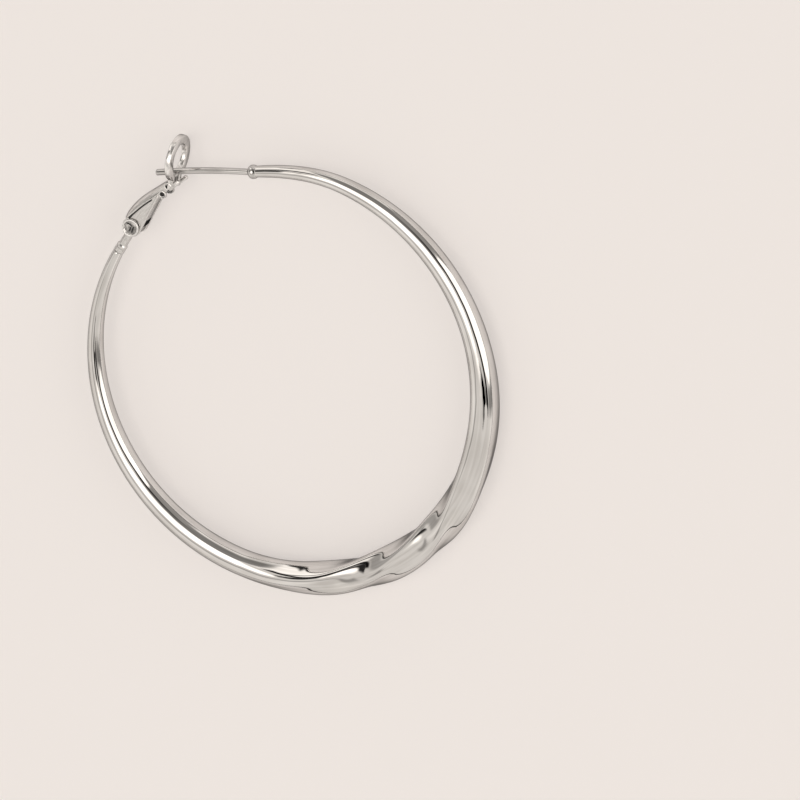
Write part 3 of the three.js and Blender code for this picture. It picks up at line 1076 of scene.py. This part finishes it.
@dataclass
class Lever(Clip):
    """The stamped lever: an arched back, two cheeks and their curled claws."""

    # The back: x along the lever, and y of its crown, half its width and y of its side edges.
    crown: Table = (
        (0.15, 1.66), (1.0, 1.85), (2.2, 1.93), (3.3, 1.87), (4.4, 1.7), (6.6, 1.17), (8.35, 0.74)
    )
    lens: Table = ((0.15, 1.05), (1.25, 1.5), (4.6, 1.5), (8.35, 1.15))
    skirt: Table = (
        (0.15, 1.22), (0.77, 1.2), (2.3, 1.05), (3.86, 0.84), (4.94, 0.6), (6.2, 0.3), (7.3, 0.2), (8.35, 0.3)
    )
    arch_reach: float = 80.0
    wall: float = 0.2
    back_cuts: tuple[int, int] = (40, 20)
    back_edge: float = 0.07
    cheek_inner: float = 0.95
    cheek_outer: float = 1.24
    cheek_edge: float = 0.06
    cheek_lower: Table = ((2.36, -0.85), (4.2, -0.45), (6.03, -0.05), (6.6, -0.1), (7.5, -0.3), (8.4, -0.42))
    cheek_nose: Table = ((8.62, -0.2), (8.66, 0.1), (8.55, 0.42))
    cheek_upper: Table = ((7.4, 0.66), (6.2, 0.86), (5.0, 1.0), (3.8, 1.1), (2.4, 1.12), (0.9, 1.08))
    eye: float = 1.35
    eye_ends: Point = (54.2, 283.3)
    eye_steps: int = 40
    eye_hole: float = 0.94
    # The claws: x and y of their middles and the angle of their outer ends.
    claws: Table = ((6.9, -0.14, 200.0), (8.34, -0.02, 250.0))
    claw_radius: float = 0.62
    claw_sheet: float = 0.15
    claw_pitch: float = 0.2
    claw_turn: float = 430.0
    claw_points: int = 54
    claw_outer: float = 1.4
    claw_rounding: Point = (0.03, 2)
    claw_seat: float = 0.54
    seat_reach: float = 3.0
    seat_points: int = 24
    # The painted shade in the claws' seats: its radius and how far its outer face lies from the middle.
    recess_radius: float = 0.55
    recess_outer: float = 1.07
    hem: Table = ((2.7, -0.62), (3.9, -0.34), (5.0, -0.1), (5.9, 0.1), (6.42, 0.16))
    hem_width: float = 0.26
    hem_outer: float = 1.38
    hem_rounding: Point = (0.1, 4)
    # The painted shadow under the back's edge: the line of a near-black strip, its width and how far its
    # outer face lies from the middle.
    fold: Table = ((0.7, 1.04), (1.5, 1.03), (2.3, 0.96), (3.3, 0.82), (4.2, 0.66), (5.2, 0.44))
    fold_width: float = 0.27
    fold_outer: float = 1.26
    tab: Table = ((8.85, -0.45), (9.85, -0.62))
    tab_width: float = 0.6
    tab_steps: int = 8
    tab_rounding: Point = (0.12, 3)

    def build(self) -> None:
        """Makes the back, both cheeks and the claws."""
        self._back()
        for side, name in ((1, "near"), (-1, "far")):
            self._cheek(side, name)
            hem = ribbon(self.hem, self.hem_width)
            self._trim(hem, side, self.hem_outer, f"lever_hem_{name}", self.hem_rounding)
            # A near-black strip under the back's edge: painted shadow.
            self._trim(ribbon(self.fold, self.fold_width), side, self.fold_outer, f"lever_fold_shadow_{name}")
            for number, (x, y, start) in enumerate(self.claws, 1):
                claw = self._curl(x, y, start)
                self._trim(claw, side, self.claw_outer, f"lever_claw_{name}_{number}", self.claw_rounding)
                # A near-black disc in each claw's seat: painted shade.
                eye = circle((x, y), self.recess_radius, self.seat_points)
                self._trim(eye, side, self.recess_outer, f"lever_recess_{name}_{number}")
            self._trim(self._tab(), side, self.claw_outer, f"lever_tab_{name}", self.tab_rounding)

    def _back(self) -> None:
        """Arches a sheet lengthwise and across, and gives it its thickness."""
        crown = Curve(*zip(*self.crown))
        lens = Curve(*zip(*self.lens))
        skirt = Curve(*zip(*self.skirt))
        low, high = self.crown[0][0], self.crown[-1][0]
        reach = math.radians(self.arch_reach)

        def arched(flat: np.ndarray) -> np.ndarray:
            """Lays the flat sheet over the arch.

            Args:
                flat: Places on the sheet.

            Returns:
                The places on the arch.
            """
            x = low + (high - low) * (flat[:, 0] + 0.5)
            lean = 2 * flat[:, 1] * reach
            drop = (crown.at(x) - skirt.at(x)) * (1 - np.cos(lean)) / (1 - math.cos(reach))
            return np.stack([x, crown.at(x) - drop, -lens.at(x) * np.sin(lean) / math.sin(reach)], axis=1)

        back = Bench.sheet(self.back_cuts, arched, thickness=self.wall, offset=-1.0, use_even_offset=True)
        Bench.soften(back, self.back_edge, sharpness=60.0)
        Bench.smooth(back, 45.0)
        self.lay_down(back, "lever_back", LEVER_FINISH)

    def _cheek(self, side: int, name: str) -> None:
        """Cuts one cheek, drills its eye and cuts the seats of its claws.

        Args:
            side: 1 towards +z and -1 towards -z.
            name: Which cheek it is.
        """
        eye = arc((0.0, 0.0), self.eye, *self.eye_ends, self.eye_steps)
        outline = [*self.cheek_lower, *self.cheek_nose, *self.cheek_upper, *eye]
        cheek = Bench.plate(outline, *self._between(side, self.cheek_outer))
        Bench.soften(cheek, self.cheek_edge)
        self.drill(cheek, self.eye_hole)
        for x, y, _ in self.claws:
            outline = circle((x, y), self.claw_seat, self.seat_points)
            seat = Bench.plate(outline, -self.seat_reach, self.seat_reach)
            Bench.weld(cheek, seat, "DIFFERENCE")
        Bench.smooth(cheek)
        self.lay_down(cheek, f"lever_cheek_{name}", LEVER_FINISH)

    def _between(self, side: int, outer: float) -> list[float]:
        """The z of the lower and the upper face of a plate from a cheek's inner face outwards."""
        return sorted((side * self.cheek_inner, side * outer))

    def _trim(
        self, outline: Sequence[Point], side: int, outer: float, name: str, rounding: Point | None = None
    ) -> None:
        """Presses a small piece of a cheek's trim and lays it down.

        Args:
            outline: Its outline, x and y.
            side: 1 towards +z and -1 towards -z.
            outer: How far its outer face lies from the middle.
            name: Its name.
            rounding: How far the rounding of its edges reaches and how many faces it has. A piece of painted
            shade has none: it takes the near-black finish, and its edges stay sharp.
        """
        piece = Bench.plate(outline, *self._between(side, outer))
        if rounding:
            width, steps = rounding
            Bench.soften(piece, width, int(steps))
            Bench.smooth(piece)
        # Without rounding the piece is painted shade and takes the near-black finish.
        self.lay_down(piece, name, LEVER_FINISH if rounding else recess("stamped_lever"))

    def _tab(self) -> list[Point]:
        """The outline of the folded tab beyond the claws: a strip with round ends.

        Returns:
            The outline's points.
        """
        (x0, y0), (x1, y1) = self.tab
        along = math.degrees(math.atan2(y1 - y0, x1 - x0))
        half = self.tab_width / 2
        outer_end = arc((x1, y1), half, along - 90, along + 90, self.tab_steps)
        return [*outer_end, *arc((x0, y0), half, along + 90, along + 270, self.tab_steps)]

    def _curl(self, x: float, y: float, start: float) -> list[Point]:
        """A strip rolled up on itself, seen end on.

        Args:
            x: The place of its middle along the lever.
            y: The place of its middle across the lever.
            start: The angle of its outer end, in degrees.

        Returns:
            The strip's outline.
        """
        outer, inner = [], []
        for rolled in np.linspace(0.0, self.claw_turn, self.claw_points):
            reach = self.claw_radius - self.claw_pitch * rolled / 360
            angle = math.radians(start + rolled)
            way = Vector((math.cos(angle), math.sin(angle)))
            outer.append((x + way.x * reach, y + way.y * reach))
            inner.append((x + way.x * (reach - self.claw_sheet), y + way.y * (reach - self.claw_sheet)))
        return [*outer, *reversed(inner)]


@dataclass
class Ring(Clip):
    """The clip's flat ring, split below into two legs, between which the post passes."""

    centre: Point = (11.77, 1.8, 0.0)
    lean: float = 32.1
    radius: float = 3.15
    hole: float = 1.95
    wall: float = 0.75
    edge: float = 0.1
    leg_outer: float = 1.36
    leg_inner: float = 0.68
    leg_reach: float = 4.25
    outer_steps: int = 72
    hole_steps: int = 60

    def local(self) -> Matrix:
        """From the ring's own frame, in which it lies flat with its legs towards -x.

        Returns:
            From that frame to the hoop's plane.
        """
        lean = math.radians(self.lean)
        along = Vector((math.cos(lean), math.sin(lean), 0.0))
        upright = Matrix((along, UP, along.cross(UP))).transposed().to_4x4()
        return super().local() @ Matrix.Translation(self.centre) @ upright

    def build(self) -> None:
        """Cuts the ring and its legs in one outline and rounds its edges."""
        leaves = math.degrees(math.asin(self.leg_outer / self.radius))
        opens = math.degrees(math.asin(self.leg_inner / self.hole))
        outline = [
            (-self.leg_reach, -self.leg_outer),
            *arc((0.0, 0.0), self.radius, -180 + leaves, 180 - leaves, self.outer_steps),
            (-self.leg_reach, self.leg_outer),
            (-self.leg_reach, self.leg_inner),
            *arc((0.0, 0.0), self.hole, 180 - opens, -180 + opens, self.hole_steps),
            (-self.leg_reach, -self.leg_inner),
        ]
        ring = Bench.plate(outline, -self.wall / 2, self.wall / 2)
        Bench.soften(ring, self.edge, sharpness=35.0)
        Bench.smooth(ring)
        self.lay_down(ring, "split_ring", LEVER_FINISH)


@dataclass
class LeafSpring(Clip):
    """The leaf spring inside the lever, which bears on the hinge's barrel."""

    node: str = "leaf_spring"
    # From its lower end to the lever's nose: x along the lever and y across it.
    route: Table = ((1.06, -1.03), (2.4, -0.7), (4.6, -0.2), (7.25, 0.2))
    half_width: float = 0.85
    wall: float = 0.22
    edge: float = 0.05
    cuts: tuple[int, int] = (24, 2)
    # The painted shade over its lower end, a near-black strip where it runs down between the cheeks: where it
    # starts and ends along x, its thickness, and its lower and upper face.
    painted_shade_span: Point = (1.1, 2.1)
    painted_shade_points: int = 7
    painted_shade_wall: float = 0.26
    painted_shade_low: float = -0.75
    painted_shade_high: float = 0.87

    def build(self) -> None:
        """Bends a strip along the spring's route and lays a strip of painted shade over its lower end."""
        route = Curve(*zip(*self.route))
        low, high = self.route[0][0], self.route[-1][0]

        def bent(flat: np.ndarray) -> np.ndarray:
            """Lays the flat strip along the route."""
            x = low + (high - low) * (flat[:, 0] + 0.5)
            return np.stack([x, route.at(x), -2 * self.half_width * flat[:, 1]], axis=1)

        strip = Bench.sheet(self.cuts, bent, thickness=self.wall, offset=0.0)
        Bench.soften(strip, self.edge, steps=2, sharpness=60.0)
        Bench.smooth(strip, 40.0)
        self.lay_down(strip, "leaf_spring_strip", SPRING_FINISH)
        # A near-black strip over the spring's lower end: painted shade between the cheeks.
        line = [(x, route.value(x)) for x in np.linspace(*self.painted_shade_span, self.painted_shade_points)]
        end = Bench.plate(ribbon(line, self.painted_shade_wall), self.painted_shade_low, self.painted_shade_high)
        self.lay_down(end, "leaf_spring_shaded_end", recess("spring_strip"))


# The studio.
def eased(value: np.ndarray, start: float, end: float) -> np.ndarray:
    """Smooth step of an array from 0 at start to 1 at end."""
    part = np.clip((value - start) / (end - start), 0.0, 1.0)
    return part * part * (3.0 - 2.0 * part)


@dataclass(frozen=True)
class Panel:
    """A light panel or a dark card in the room, between two bearings and two heights, in degrees."""

    bearings: Point
    heights: Point
    level: float
    soft: Point = (5.0, 6.0)
    lean: float = 0.0

    def mask(self, bearing: np.ndarray, height: np.ndarray) -> np.ndarray:
        """Where the panel stands.

        Args:
            bearing: The bearings that are looked at.
            height: Their heights.

        Returns:
            1 on the panel and 0 beside it.
        """
        shown = np.ones(len(bearing))
        sides = (
            (bearing + height * self.lean, self.bearings, self.soft[0]),
            (height, self.heights, self.soft[1]),
        )
        for value, (start, end), soft in sides:
            shown *= eased(value, start - soft, start + soft)
            shown *= 1.0 - eased(value, end - soft, end + soft)
        return shown


@dataclass
class Studio:
    """A pale floor, a soft room of light and the camera. Lengths are in metres and angles in degrees."""

    lay: Lay
    # The camera's directions in the hoop's plane, and its aim and the width of its view in millimetres.
    eye_way: Point = (0.4167, 0.2966, 0.8593)
    right: Point = (0.9067, -0.0664, -0.4167)
    above: Point = (-0.0664, 0.9527, -0.2966)
    aim: Point = (14.52, -3.52)
    view_width: float = 105.5
    lens: float = 1000.0
    sight: float = 50.0
    floor_size: float = 4.0
    floor_cuts: int = 8
    floor_colour: Point = (0.501, 0.475, 0.46)
    floor_roughness: float = 0.85
    floor_glow: float = 0.8
    backdrop: Point = (0.84, 0.77, 0.72)
    dome_radius: float = 3.0
    dome_rings: int = 180
    light_colour: Point = (1.0, 0.945, 0.885)
    wall_light: float = 0.82
    panels: tuple[Panel, ...] = (
        Panel((-64.0, -24.0), (-8.0, 34.0), 0.95, (6.0, 7.0)),
        Panel((-19.0, -8.0), (-30.0, 47.0), 0.3, (3.0, 6.0), 0.22),
        Panel((36.0, 108.0), (19.0, 64.0), 0.26, (4.0, 5.0)),
        Panel((36.0, 67.0), (-40.0, 50.0), 0.36, (3.0, 5.0)),
        Panel((-172.0, -116.0), (12.0, 46.0), 0.98, (8.0, 7.0)),
        Panel((-165.0, -118.0), (51.5, 58.0), 0.42, (7.0, 2.5)),
        Panel((69.0, 96.0), (-30.0, 11.0), 1.1, (2.0, 5.0)),
        Panel((109.0, 137.0), (-30.0, 50.0), 1.35, (2.0, 3.0)),
        Panel((137.0, 178.0), (6.0, 34.0), 0.45, (3.0, 6.0)),
        Panel((112.0, 155.0), (37.0, 48.0), 0.01, (3.0, 3.0)),
        Panel((142.0, 147.0), (8.0, 40.0), 0.02, (2.0, 4.0), 0.6),
        Panel((139.0, 168.0), (46.0, 62.0), 0.03, (5.0, 2.0)),
        Panel((111.5, 119.0), (-20.0, 9.5), 0.04, (1.5, 2.0)),
        Panel((-200.0, 200.0), (-20.0, 2.8), 0.03, (8.0, 1.2)),
    )
    ceiling: Point = (-0.095, 0.125, 0.9876)
    ceiling_rim: Point = (24.5, 16.0)
    ceiling_light: float = 2.0
    # The gap between the ceiling and the walls: bearing, height, its reach below and above, and its light.
    gap: Table = (
        (-112.0, 73.0, 2.5, 2.5, 0.7),
        (-95.0, 74.5, 3.5, 3.0, 0.05),
        (-60.0, 74.0, 3.5, 4.0, 0.03),
        (-46.0, 69.0, 4.0, 6.0, 0.3),
        (-35.0, 59.0, 6.0, 8.0, 0.01),
        (-22.0, 59.0, 6.5, 8.0, 0.01),
        (0.0, 59.5, 6.5, 8.0, 0.01),
        (15.0, 57.5, 6.5, 7.0, 0.01),
        (30.0, 52.5, 6.5, 8.0, 0.01),
        (50.0, 47.5, 7.0, 10.0, 0.06),
        (72.0, 46.0, 7.0, 12.0, 0.25),
    )
    gap_below: Point = (1.3, 0.9)
    gap_above: Point = (1.3, 0.3)
    gap_end: float = 8.0
    # The key light: it widens upwards from the floor to the gap.
    key_light: float = 1.7
    key_bearing: float = 15.0
    key_foot: float = 16.0
    key_slope: float = 0.5
    key_reach: float = 27.0
    key_soft: float = 1.5
    key_low: Point = (1.5, 4.5)
    key_high: Point = (1.0, 1.3)

    def build(self) -> None:
        """Makes the floor, the room, the backdrop and the camera."""
        self._floor()
        self._room()
        self._backdrop()
        self._camera()

    def _floor(self) -> None:
        """Lays the floor."""
        cuts = {"x_subdivisions": self.floor_cuts, "y_subdivisions": self.floor_cuts}
        floor = Bench.start(bpy.ops.mesh.primitive_grid_add, size=self.floor_size, **cuts)
        colour = (*self.floor_colour, 1.0)
        made, board = blank_material("pale_floor")
        glow = {"Emission Color": colour, "Emission Strength": self.floor_glow}
        matt = {"Base Color": colour, "Roughness": self.floor_roughness}
        shader = board.node("ShaderNodeBsdfPrincipled", {}, {**matt, **glow})
        board.node("ShaderNodeOutputMaterial", {}, {"Surface": shader})
        self._stage(floor, "floor", made)

    def _room(self) -> None:
        """Hangs a dome round the scene, whose points shine as the room's panels and walls do."""
        cuts = {"segments": 2 * self.dome_rings, "ring_count": self.dome_rings}
        dome = Bench.start(bpy.ops.mesh.primitive_uv_sphere_add, radius=self.dome_radius, **cuts)
        places = np.zeros(len(dome.data.vertices) * 3)
        dome.data.vertices.foreach_get("co", places)
        light = dome.data.attributes.new("light", "FLOAT", "POINT")
        light.data.foreach_set("value", self._light(places.reshape(-1, 3)))
        made, board = blank_material("room_light")
        strength = board.node("ShaderNodeAttribute", {"attribute_name": "light"}, {}, "Fac")
        colour = (*self.light_colour, 1.0)
        shader = board.node("ShaderNodeEmission", {}, {"Color": colour, "Strength": strength})
        board.node("ShaderNodeOutputMaterial", {}, {"Surface": shader})
        dome.visible_camera = False
        self._stage(dome, "dome", made)

    def _stage(self, piece: Piece, name: str, made: bpy.types.Material) -> None:
        """Names and dresses a piece of the studio, whose glow is seen but isn't sampled as a lamp.

        Args:
            piece: The piece.
            name: Its name.
            made: Its material.
        """
        made.cycles.emission_sampling = "NONE"
        piece.name = name
        piece.data.materials.append(made)
        LOG.info("%s is part of the studio", name)

    def _backdrop(self) -> None:
        """Sets the colour behind the floor."""
        world = bpy.data.worlds.new("room")
        world.use_nodes = True
        bpy.context.scene.world = world
        board = Board(world.node_tree)
        shader = board.node("ShaderNodeBackground", {}, {"Color": (*self.backdrop, 1.0), "Strength": 1.0})
        board.node("ShaderNodeOutputWorld", {}, {"Surface": shader})

    def _light(self, places: np.ndarray) -> np.ndarray:
        """How brightly the room shines in each direction.

        Args:
            places: Points on the dome.

        Returns:
            The light's strength at each.
        """
        ways = places / np.linalg.norm(places, axis=1)[:, None]
        bearing = np.degrees(np.arctan2(ways[:, 1], ways[:, 0]))
        height = np.degrees(np.arcsin(np.clip(ways[:, 2], -1.0, 1.0)))
        light = np.full(len(ways), self.wall_light)
        for panel in self.panels:
            light += panel.mask(bearing, height) * (panel.level - light)
        near = ways @ np.array(Vector(self.ceiling).normalized())
        ceiling = eased(near, *np.cos(np.radians(self.ceiling_rim)))
        light += ceiling * (self.ceiling_light - light)
        at, *columns = zip(*self.gap)
        middle, below, above, level = (Curve(at, column).at(bearing) for column in columns)
        under = (middle - height) / below
        gap = eased(under, *self.gap_below) * eased((height - middle) / above, *self.gap_above)
        gap *= eased(bearing, at[0] - self.gap_end, at[0]) * eased(bearing, at[-1] + self.gap_end, at[-1])
        light += gap * (level - light)
        aside = abs(bearing - self.key_bearing)
        soft = self.key_soft
        key = eased(height * self.key_slope + self.key_foot - aside, -soft, soft)
        key *= eased(self.key_reach - aside, -soft, soft)
        key *= eased(under, *self.key_high) * eased(height, *self.key_low)
        return light + key * (self.key_light - light)

    def _camera(self) -> None:
        """Sets the camera at the photograph's angle, far off with a long lens."""
        data = bpy.data.cameras.new("camera")
        data.lens = self.lens
        data.clip_end = self.sight
        camera = bpy.data.objects.new("camera", data)
        bpy.context.scene.collection.objects.link(camera)
        right, above, eye_way = Vector(self.right), Vector(self.above), Vector(self.eye_way)
        target = right * self.aim[0] + above * self.aim[1]
        distance = self.view_width * self.lens / data.sensor_width
        axes = Matrix((right, above, eye_way)).transposed()
        camera.rotation_mode = "QUATERNION"
        camera.rotation_quaternion = self.lay.turn @ axes.to_quaternion()
        camera.location = self.lay.point(target + eye_way * distance)
        bpy.context.scene.camera = camera
        bpy.context.scene.view_settings.view_transform = "Standard"


def plain(box: Iterable[Vector]) -> list[list[float]]:
    """A box's corners as plain lists of numbers."""
    return [[float(value) for value in corner] for corner in box]


def main() -> None:
    """Builds the earring and its studio."""
    logging.basicConfig(level=logging.INFO, format="%(name)s: %(message)s")
    lay = Lay.from_hinge(frame["joints"][0])
    for sub_assembly in (Hoop, EarPost, Knuckle, Rivet, Lever, Ring, LeafSpring, Studio):
        sub_assembly(lay).build()


if __name__ == "__main__":
    main()
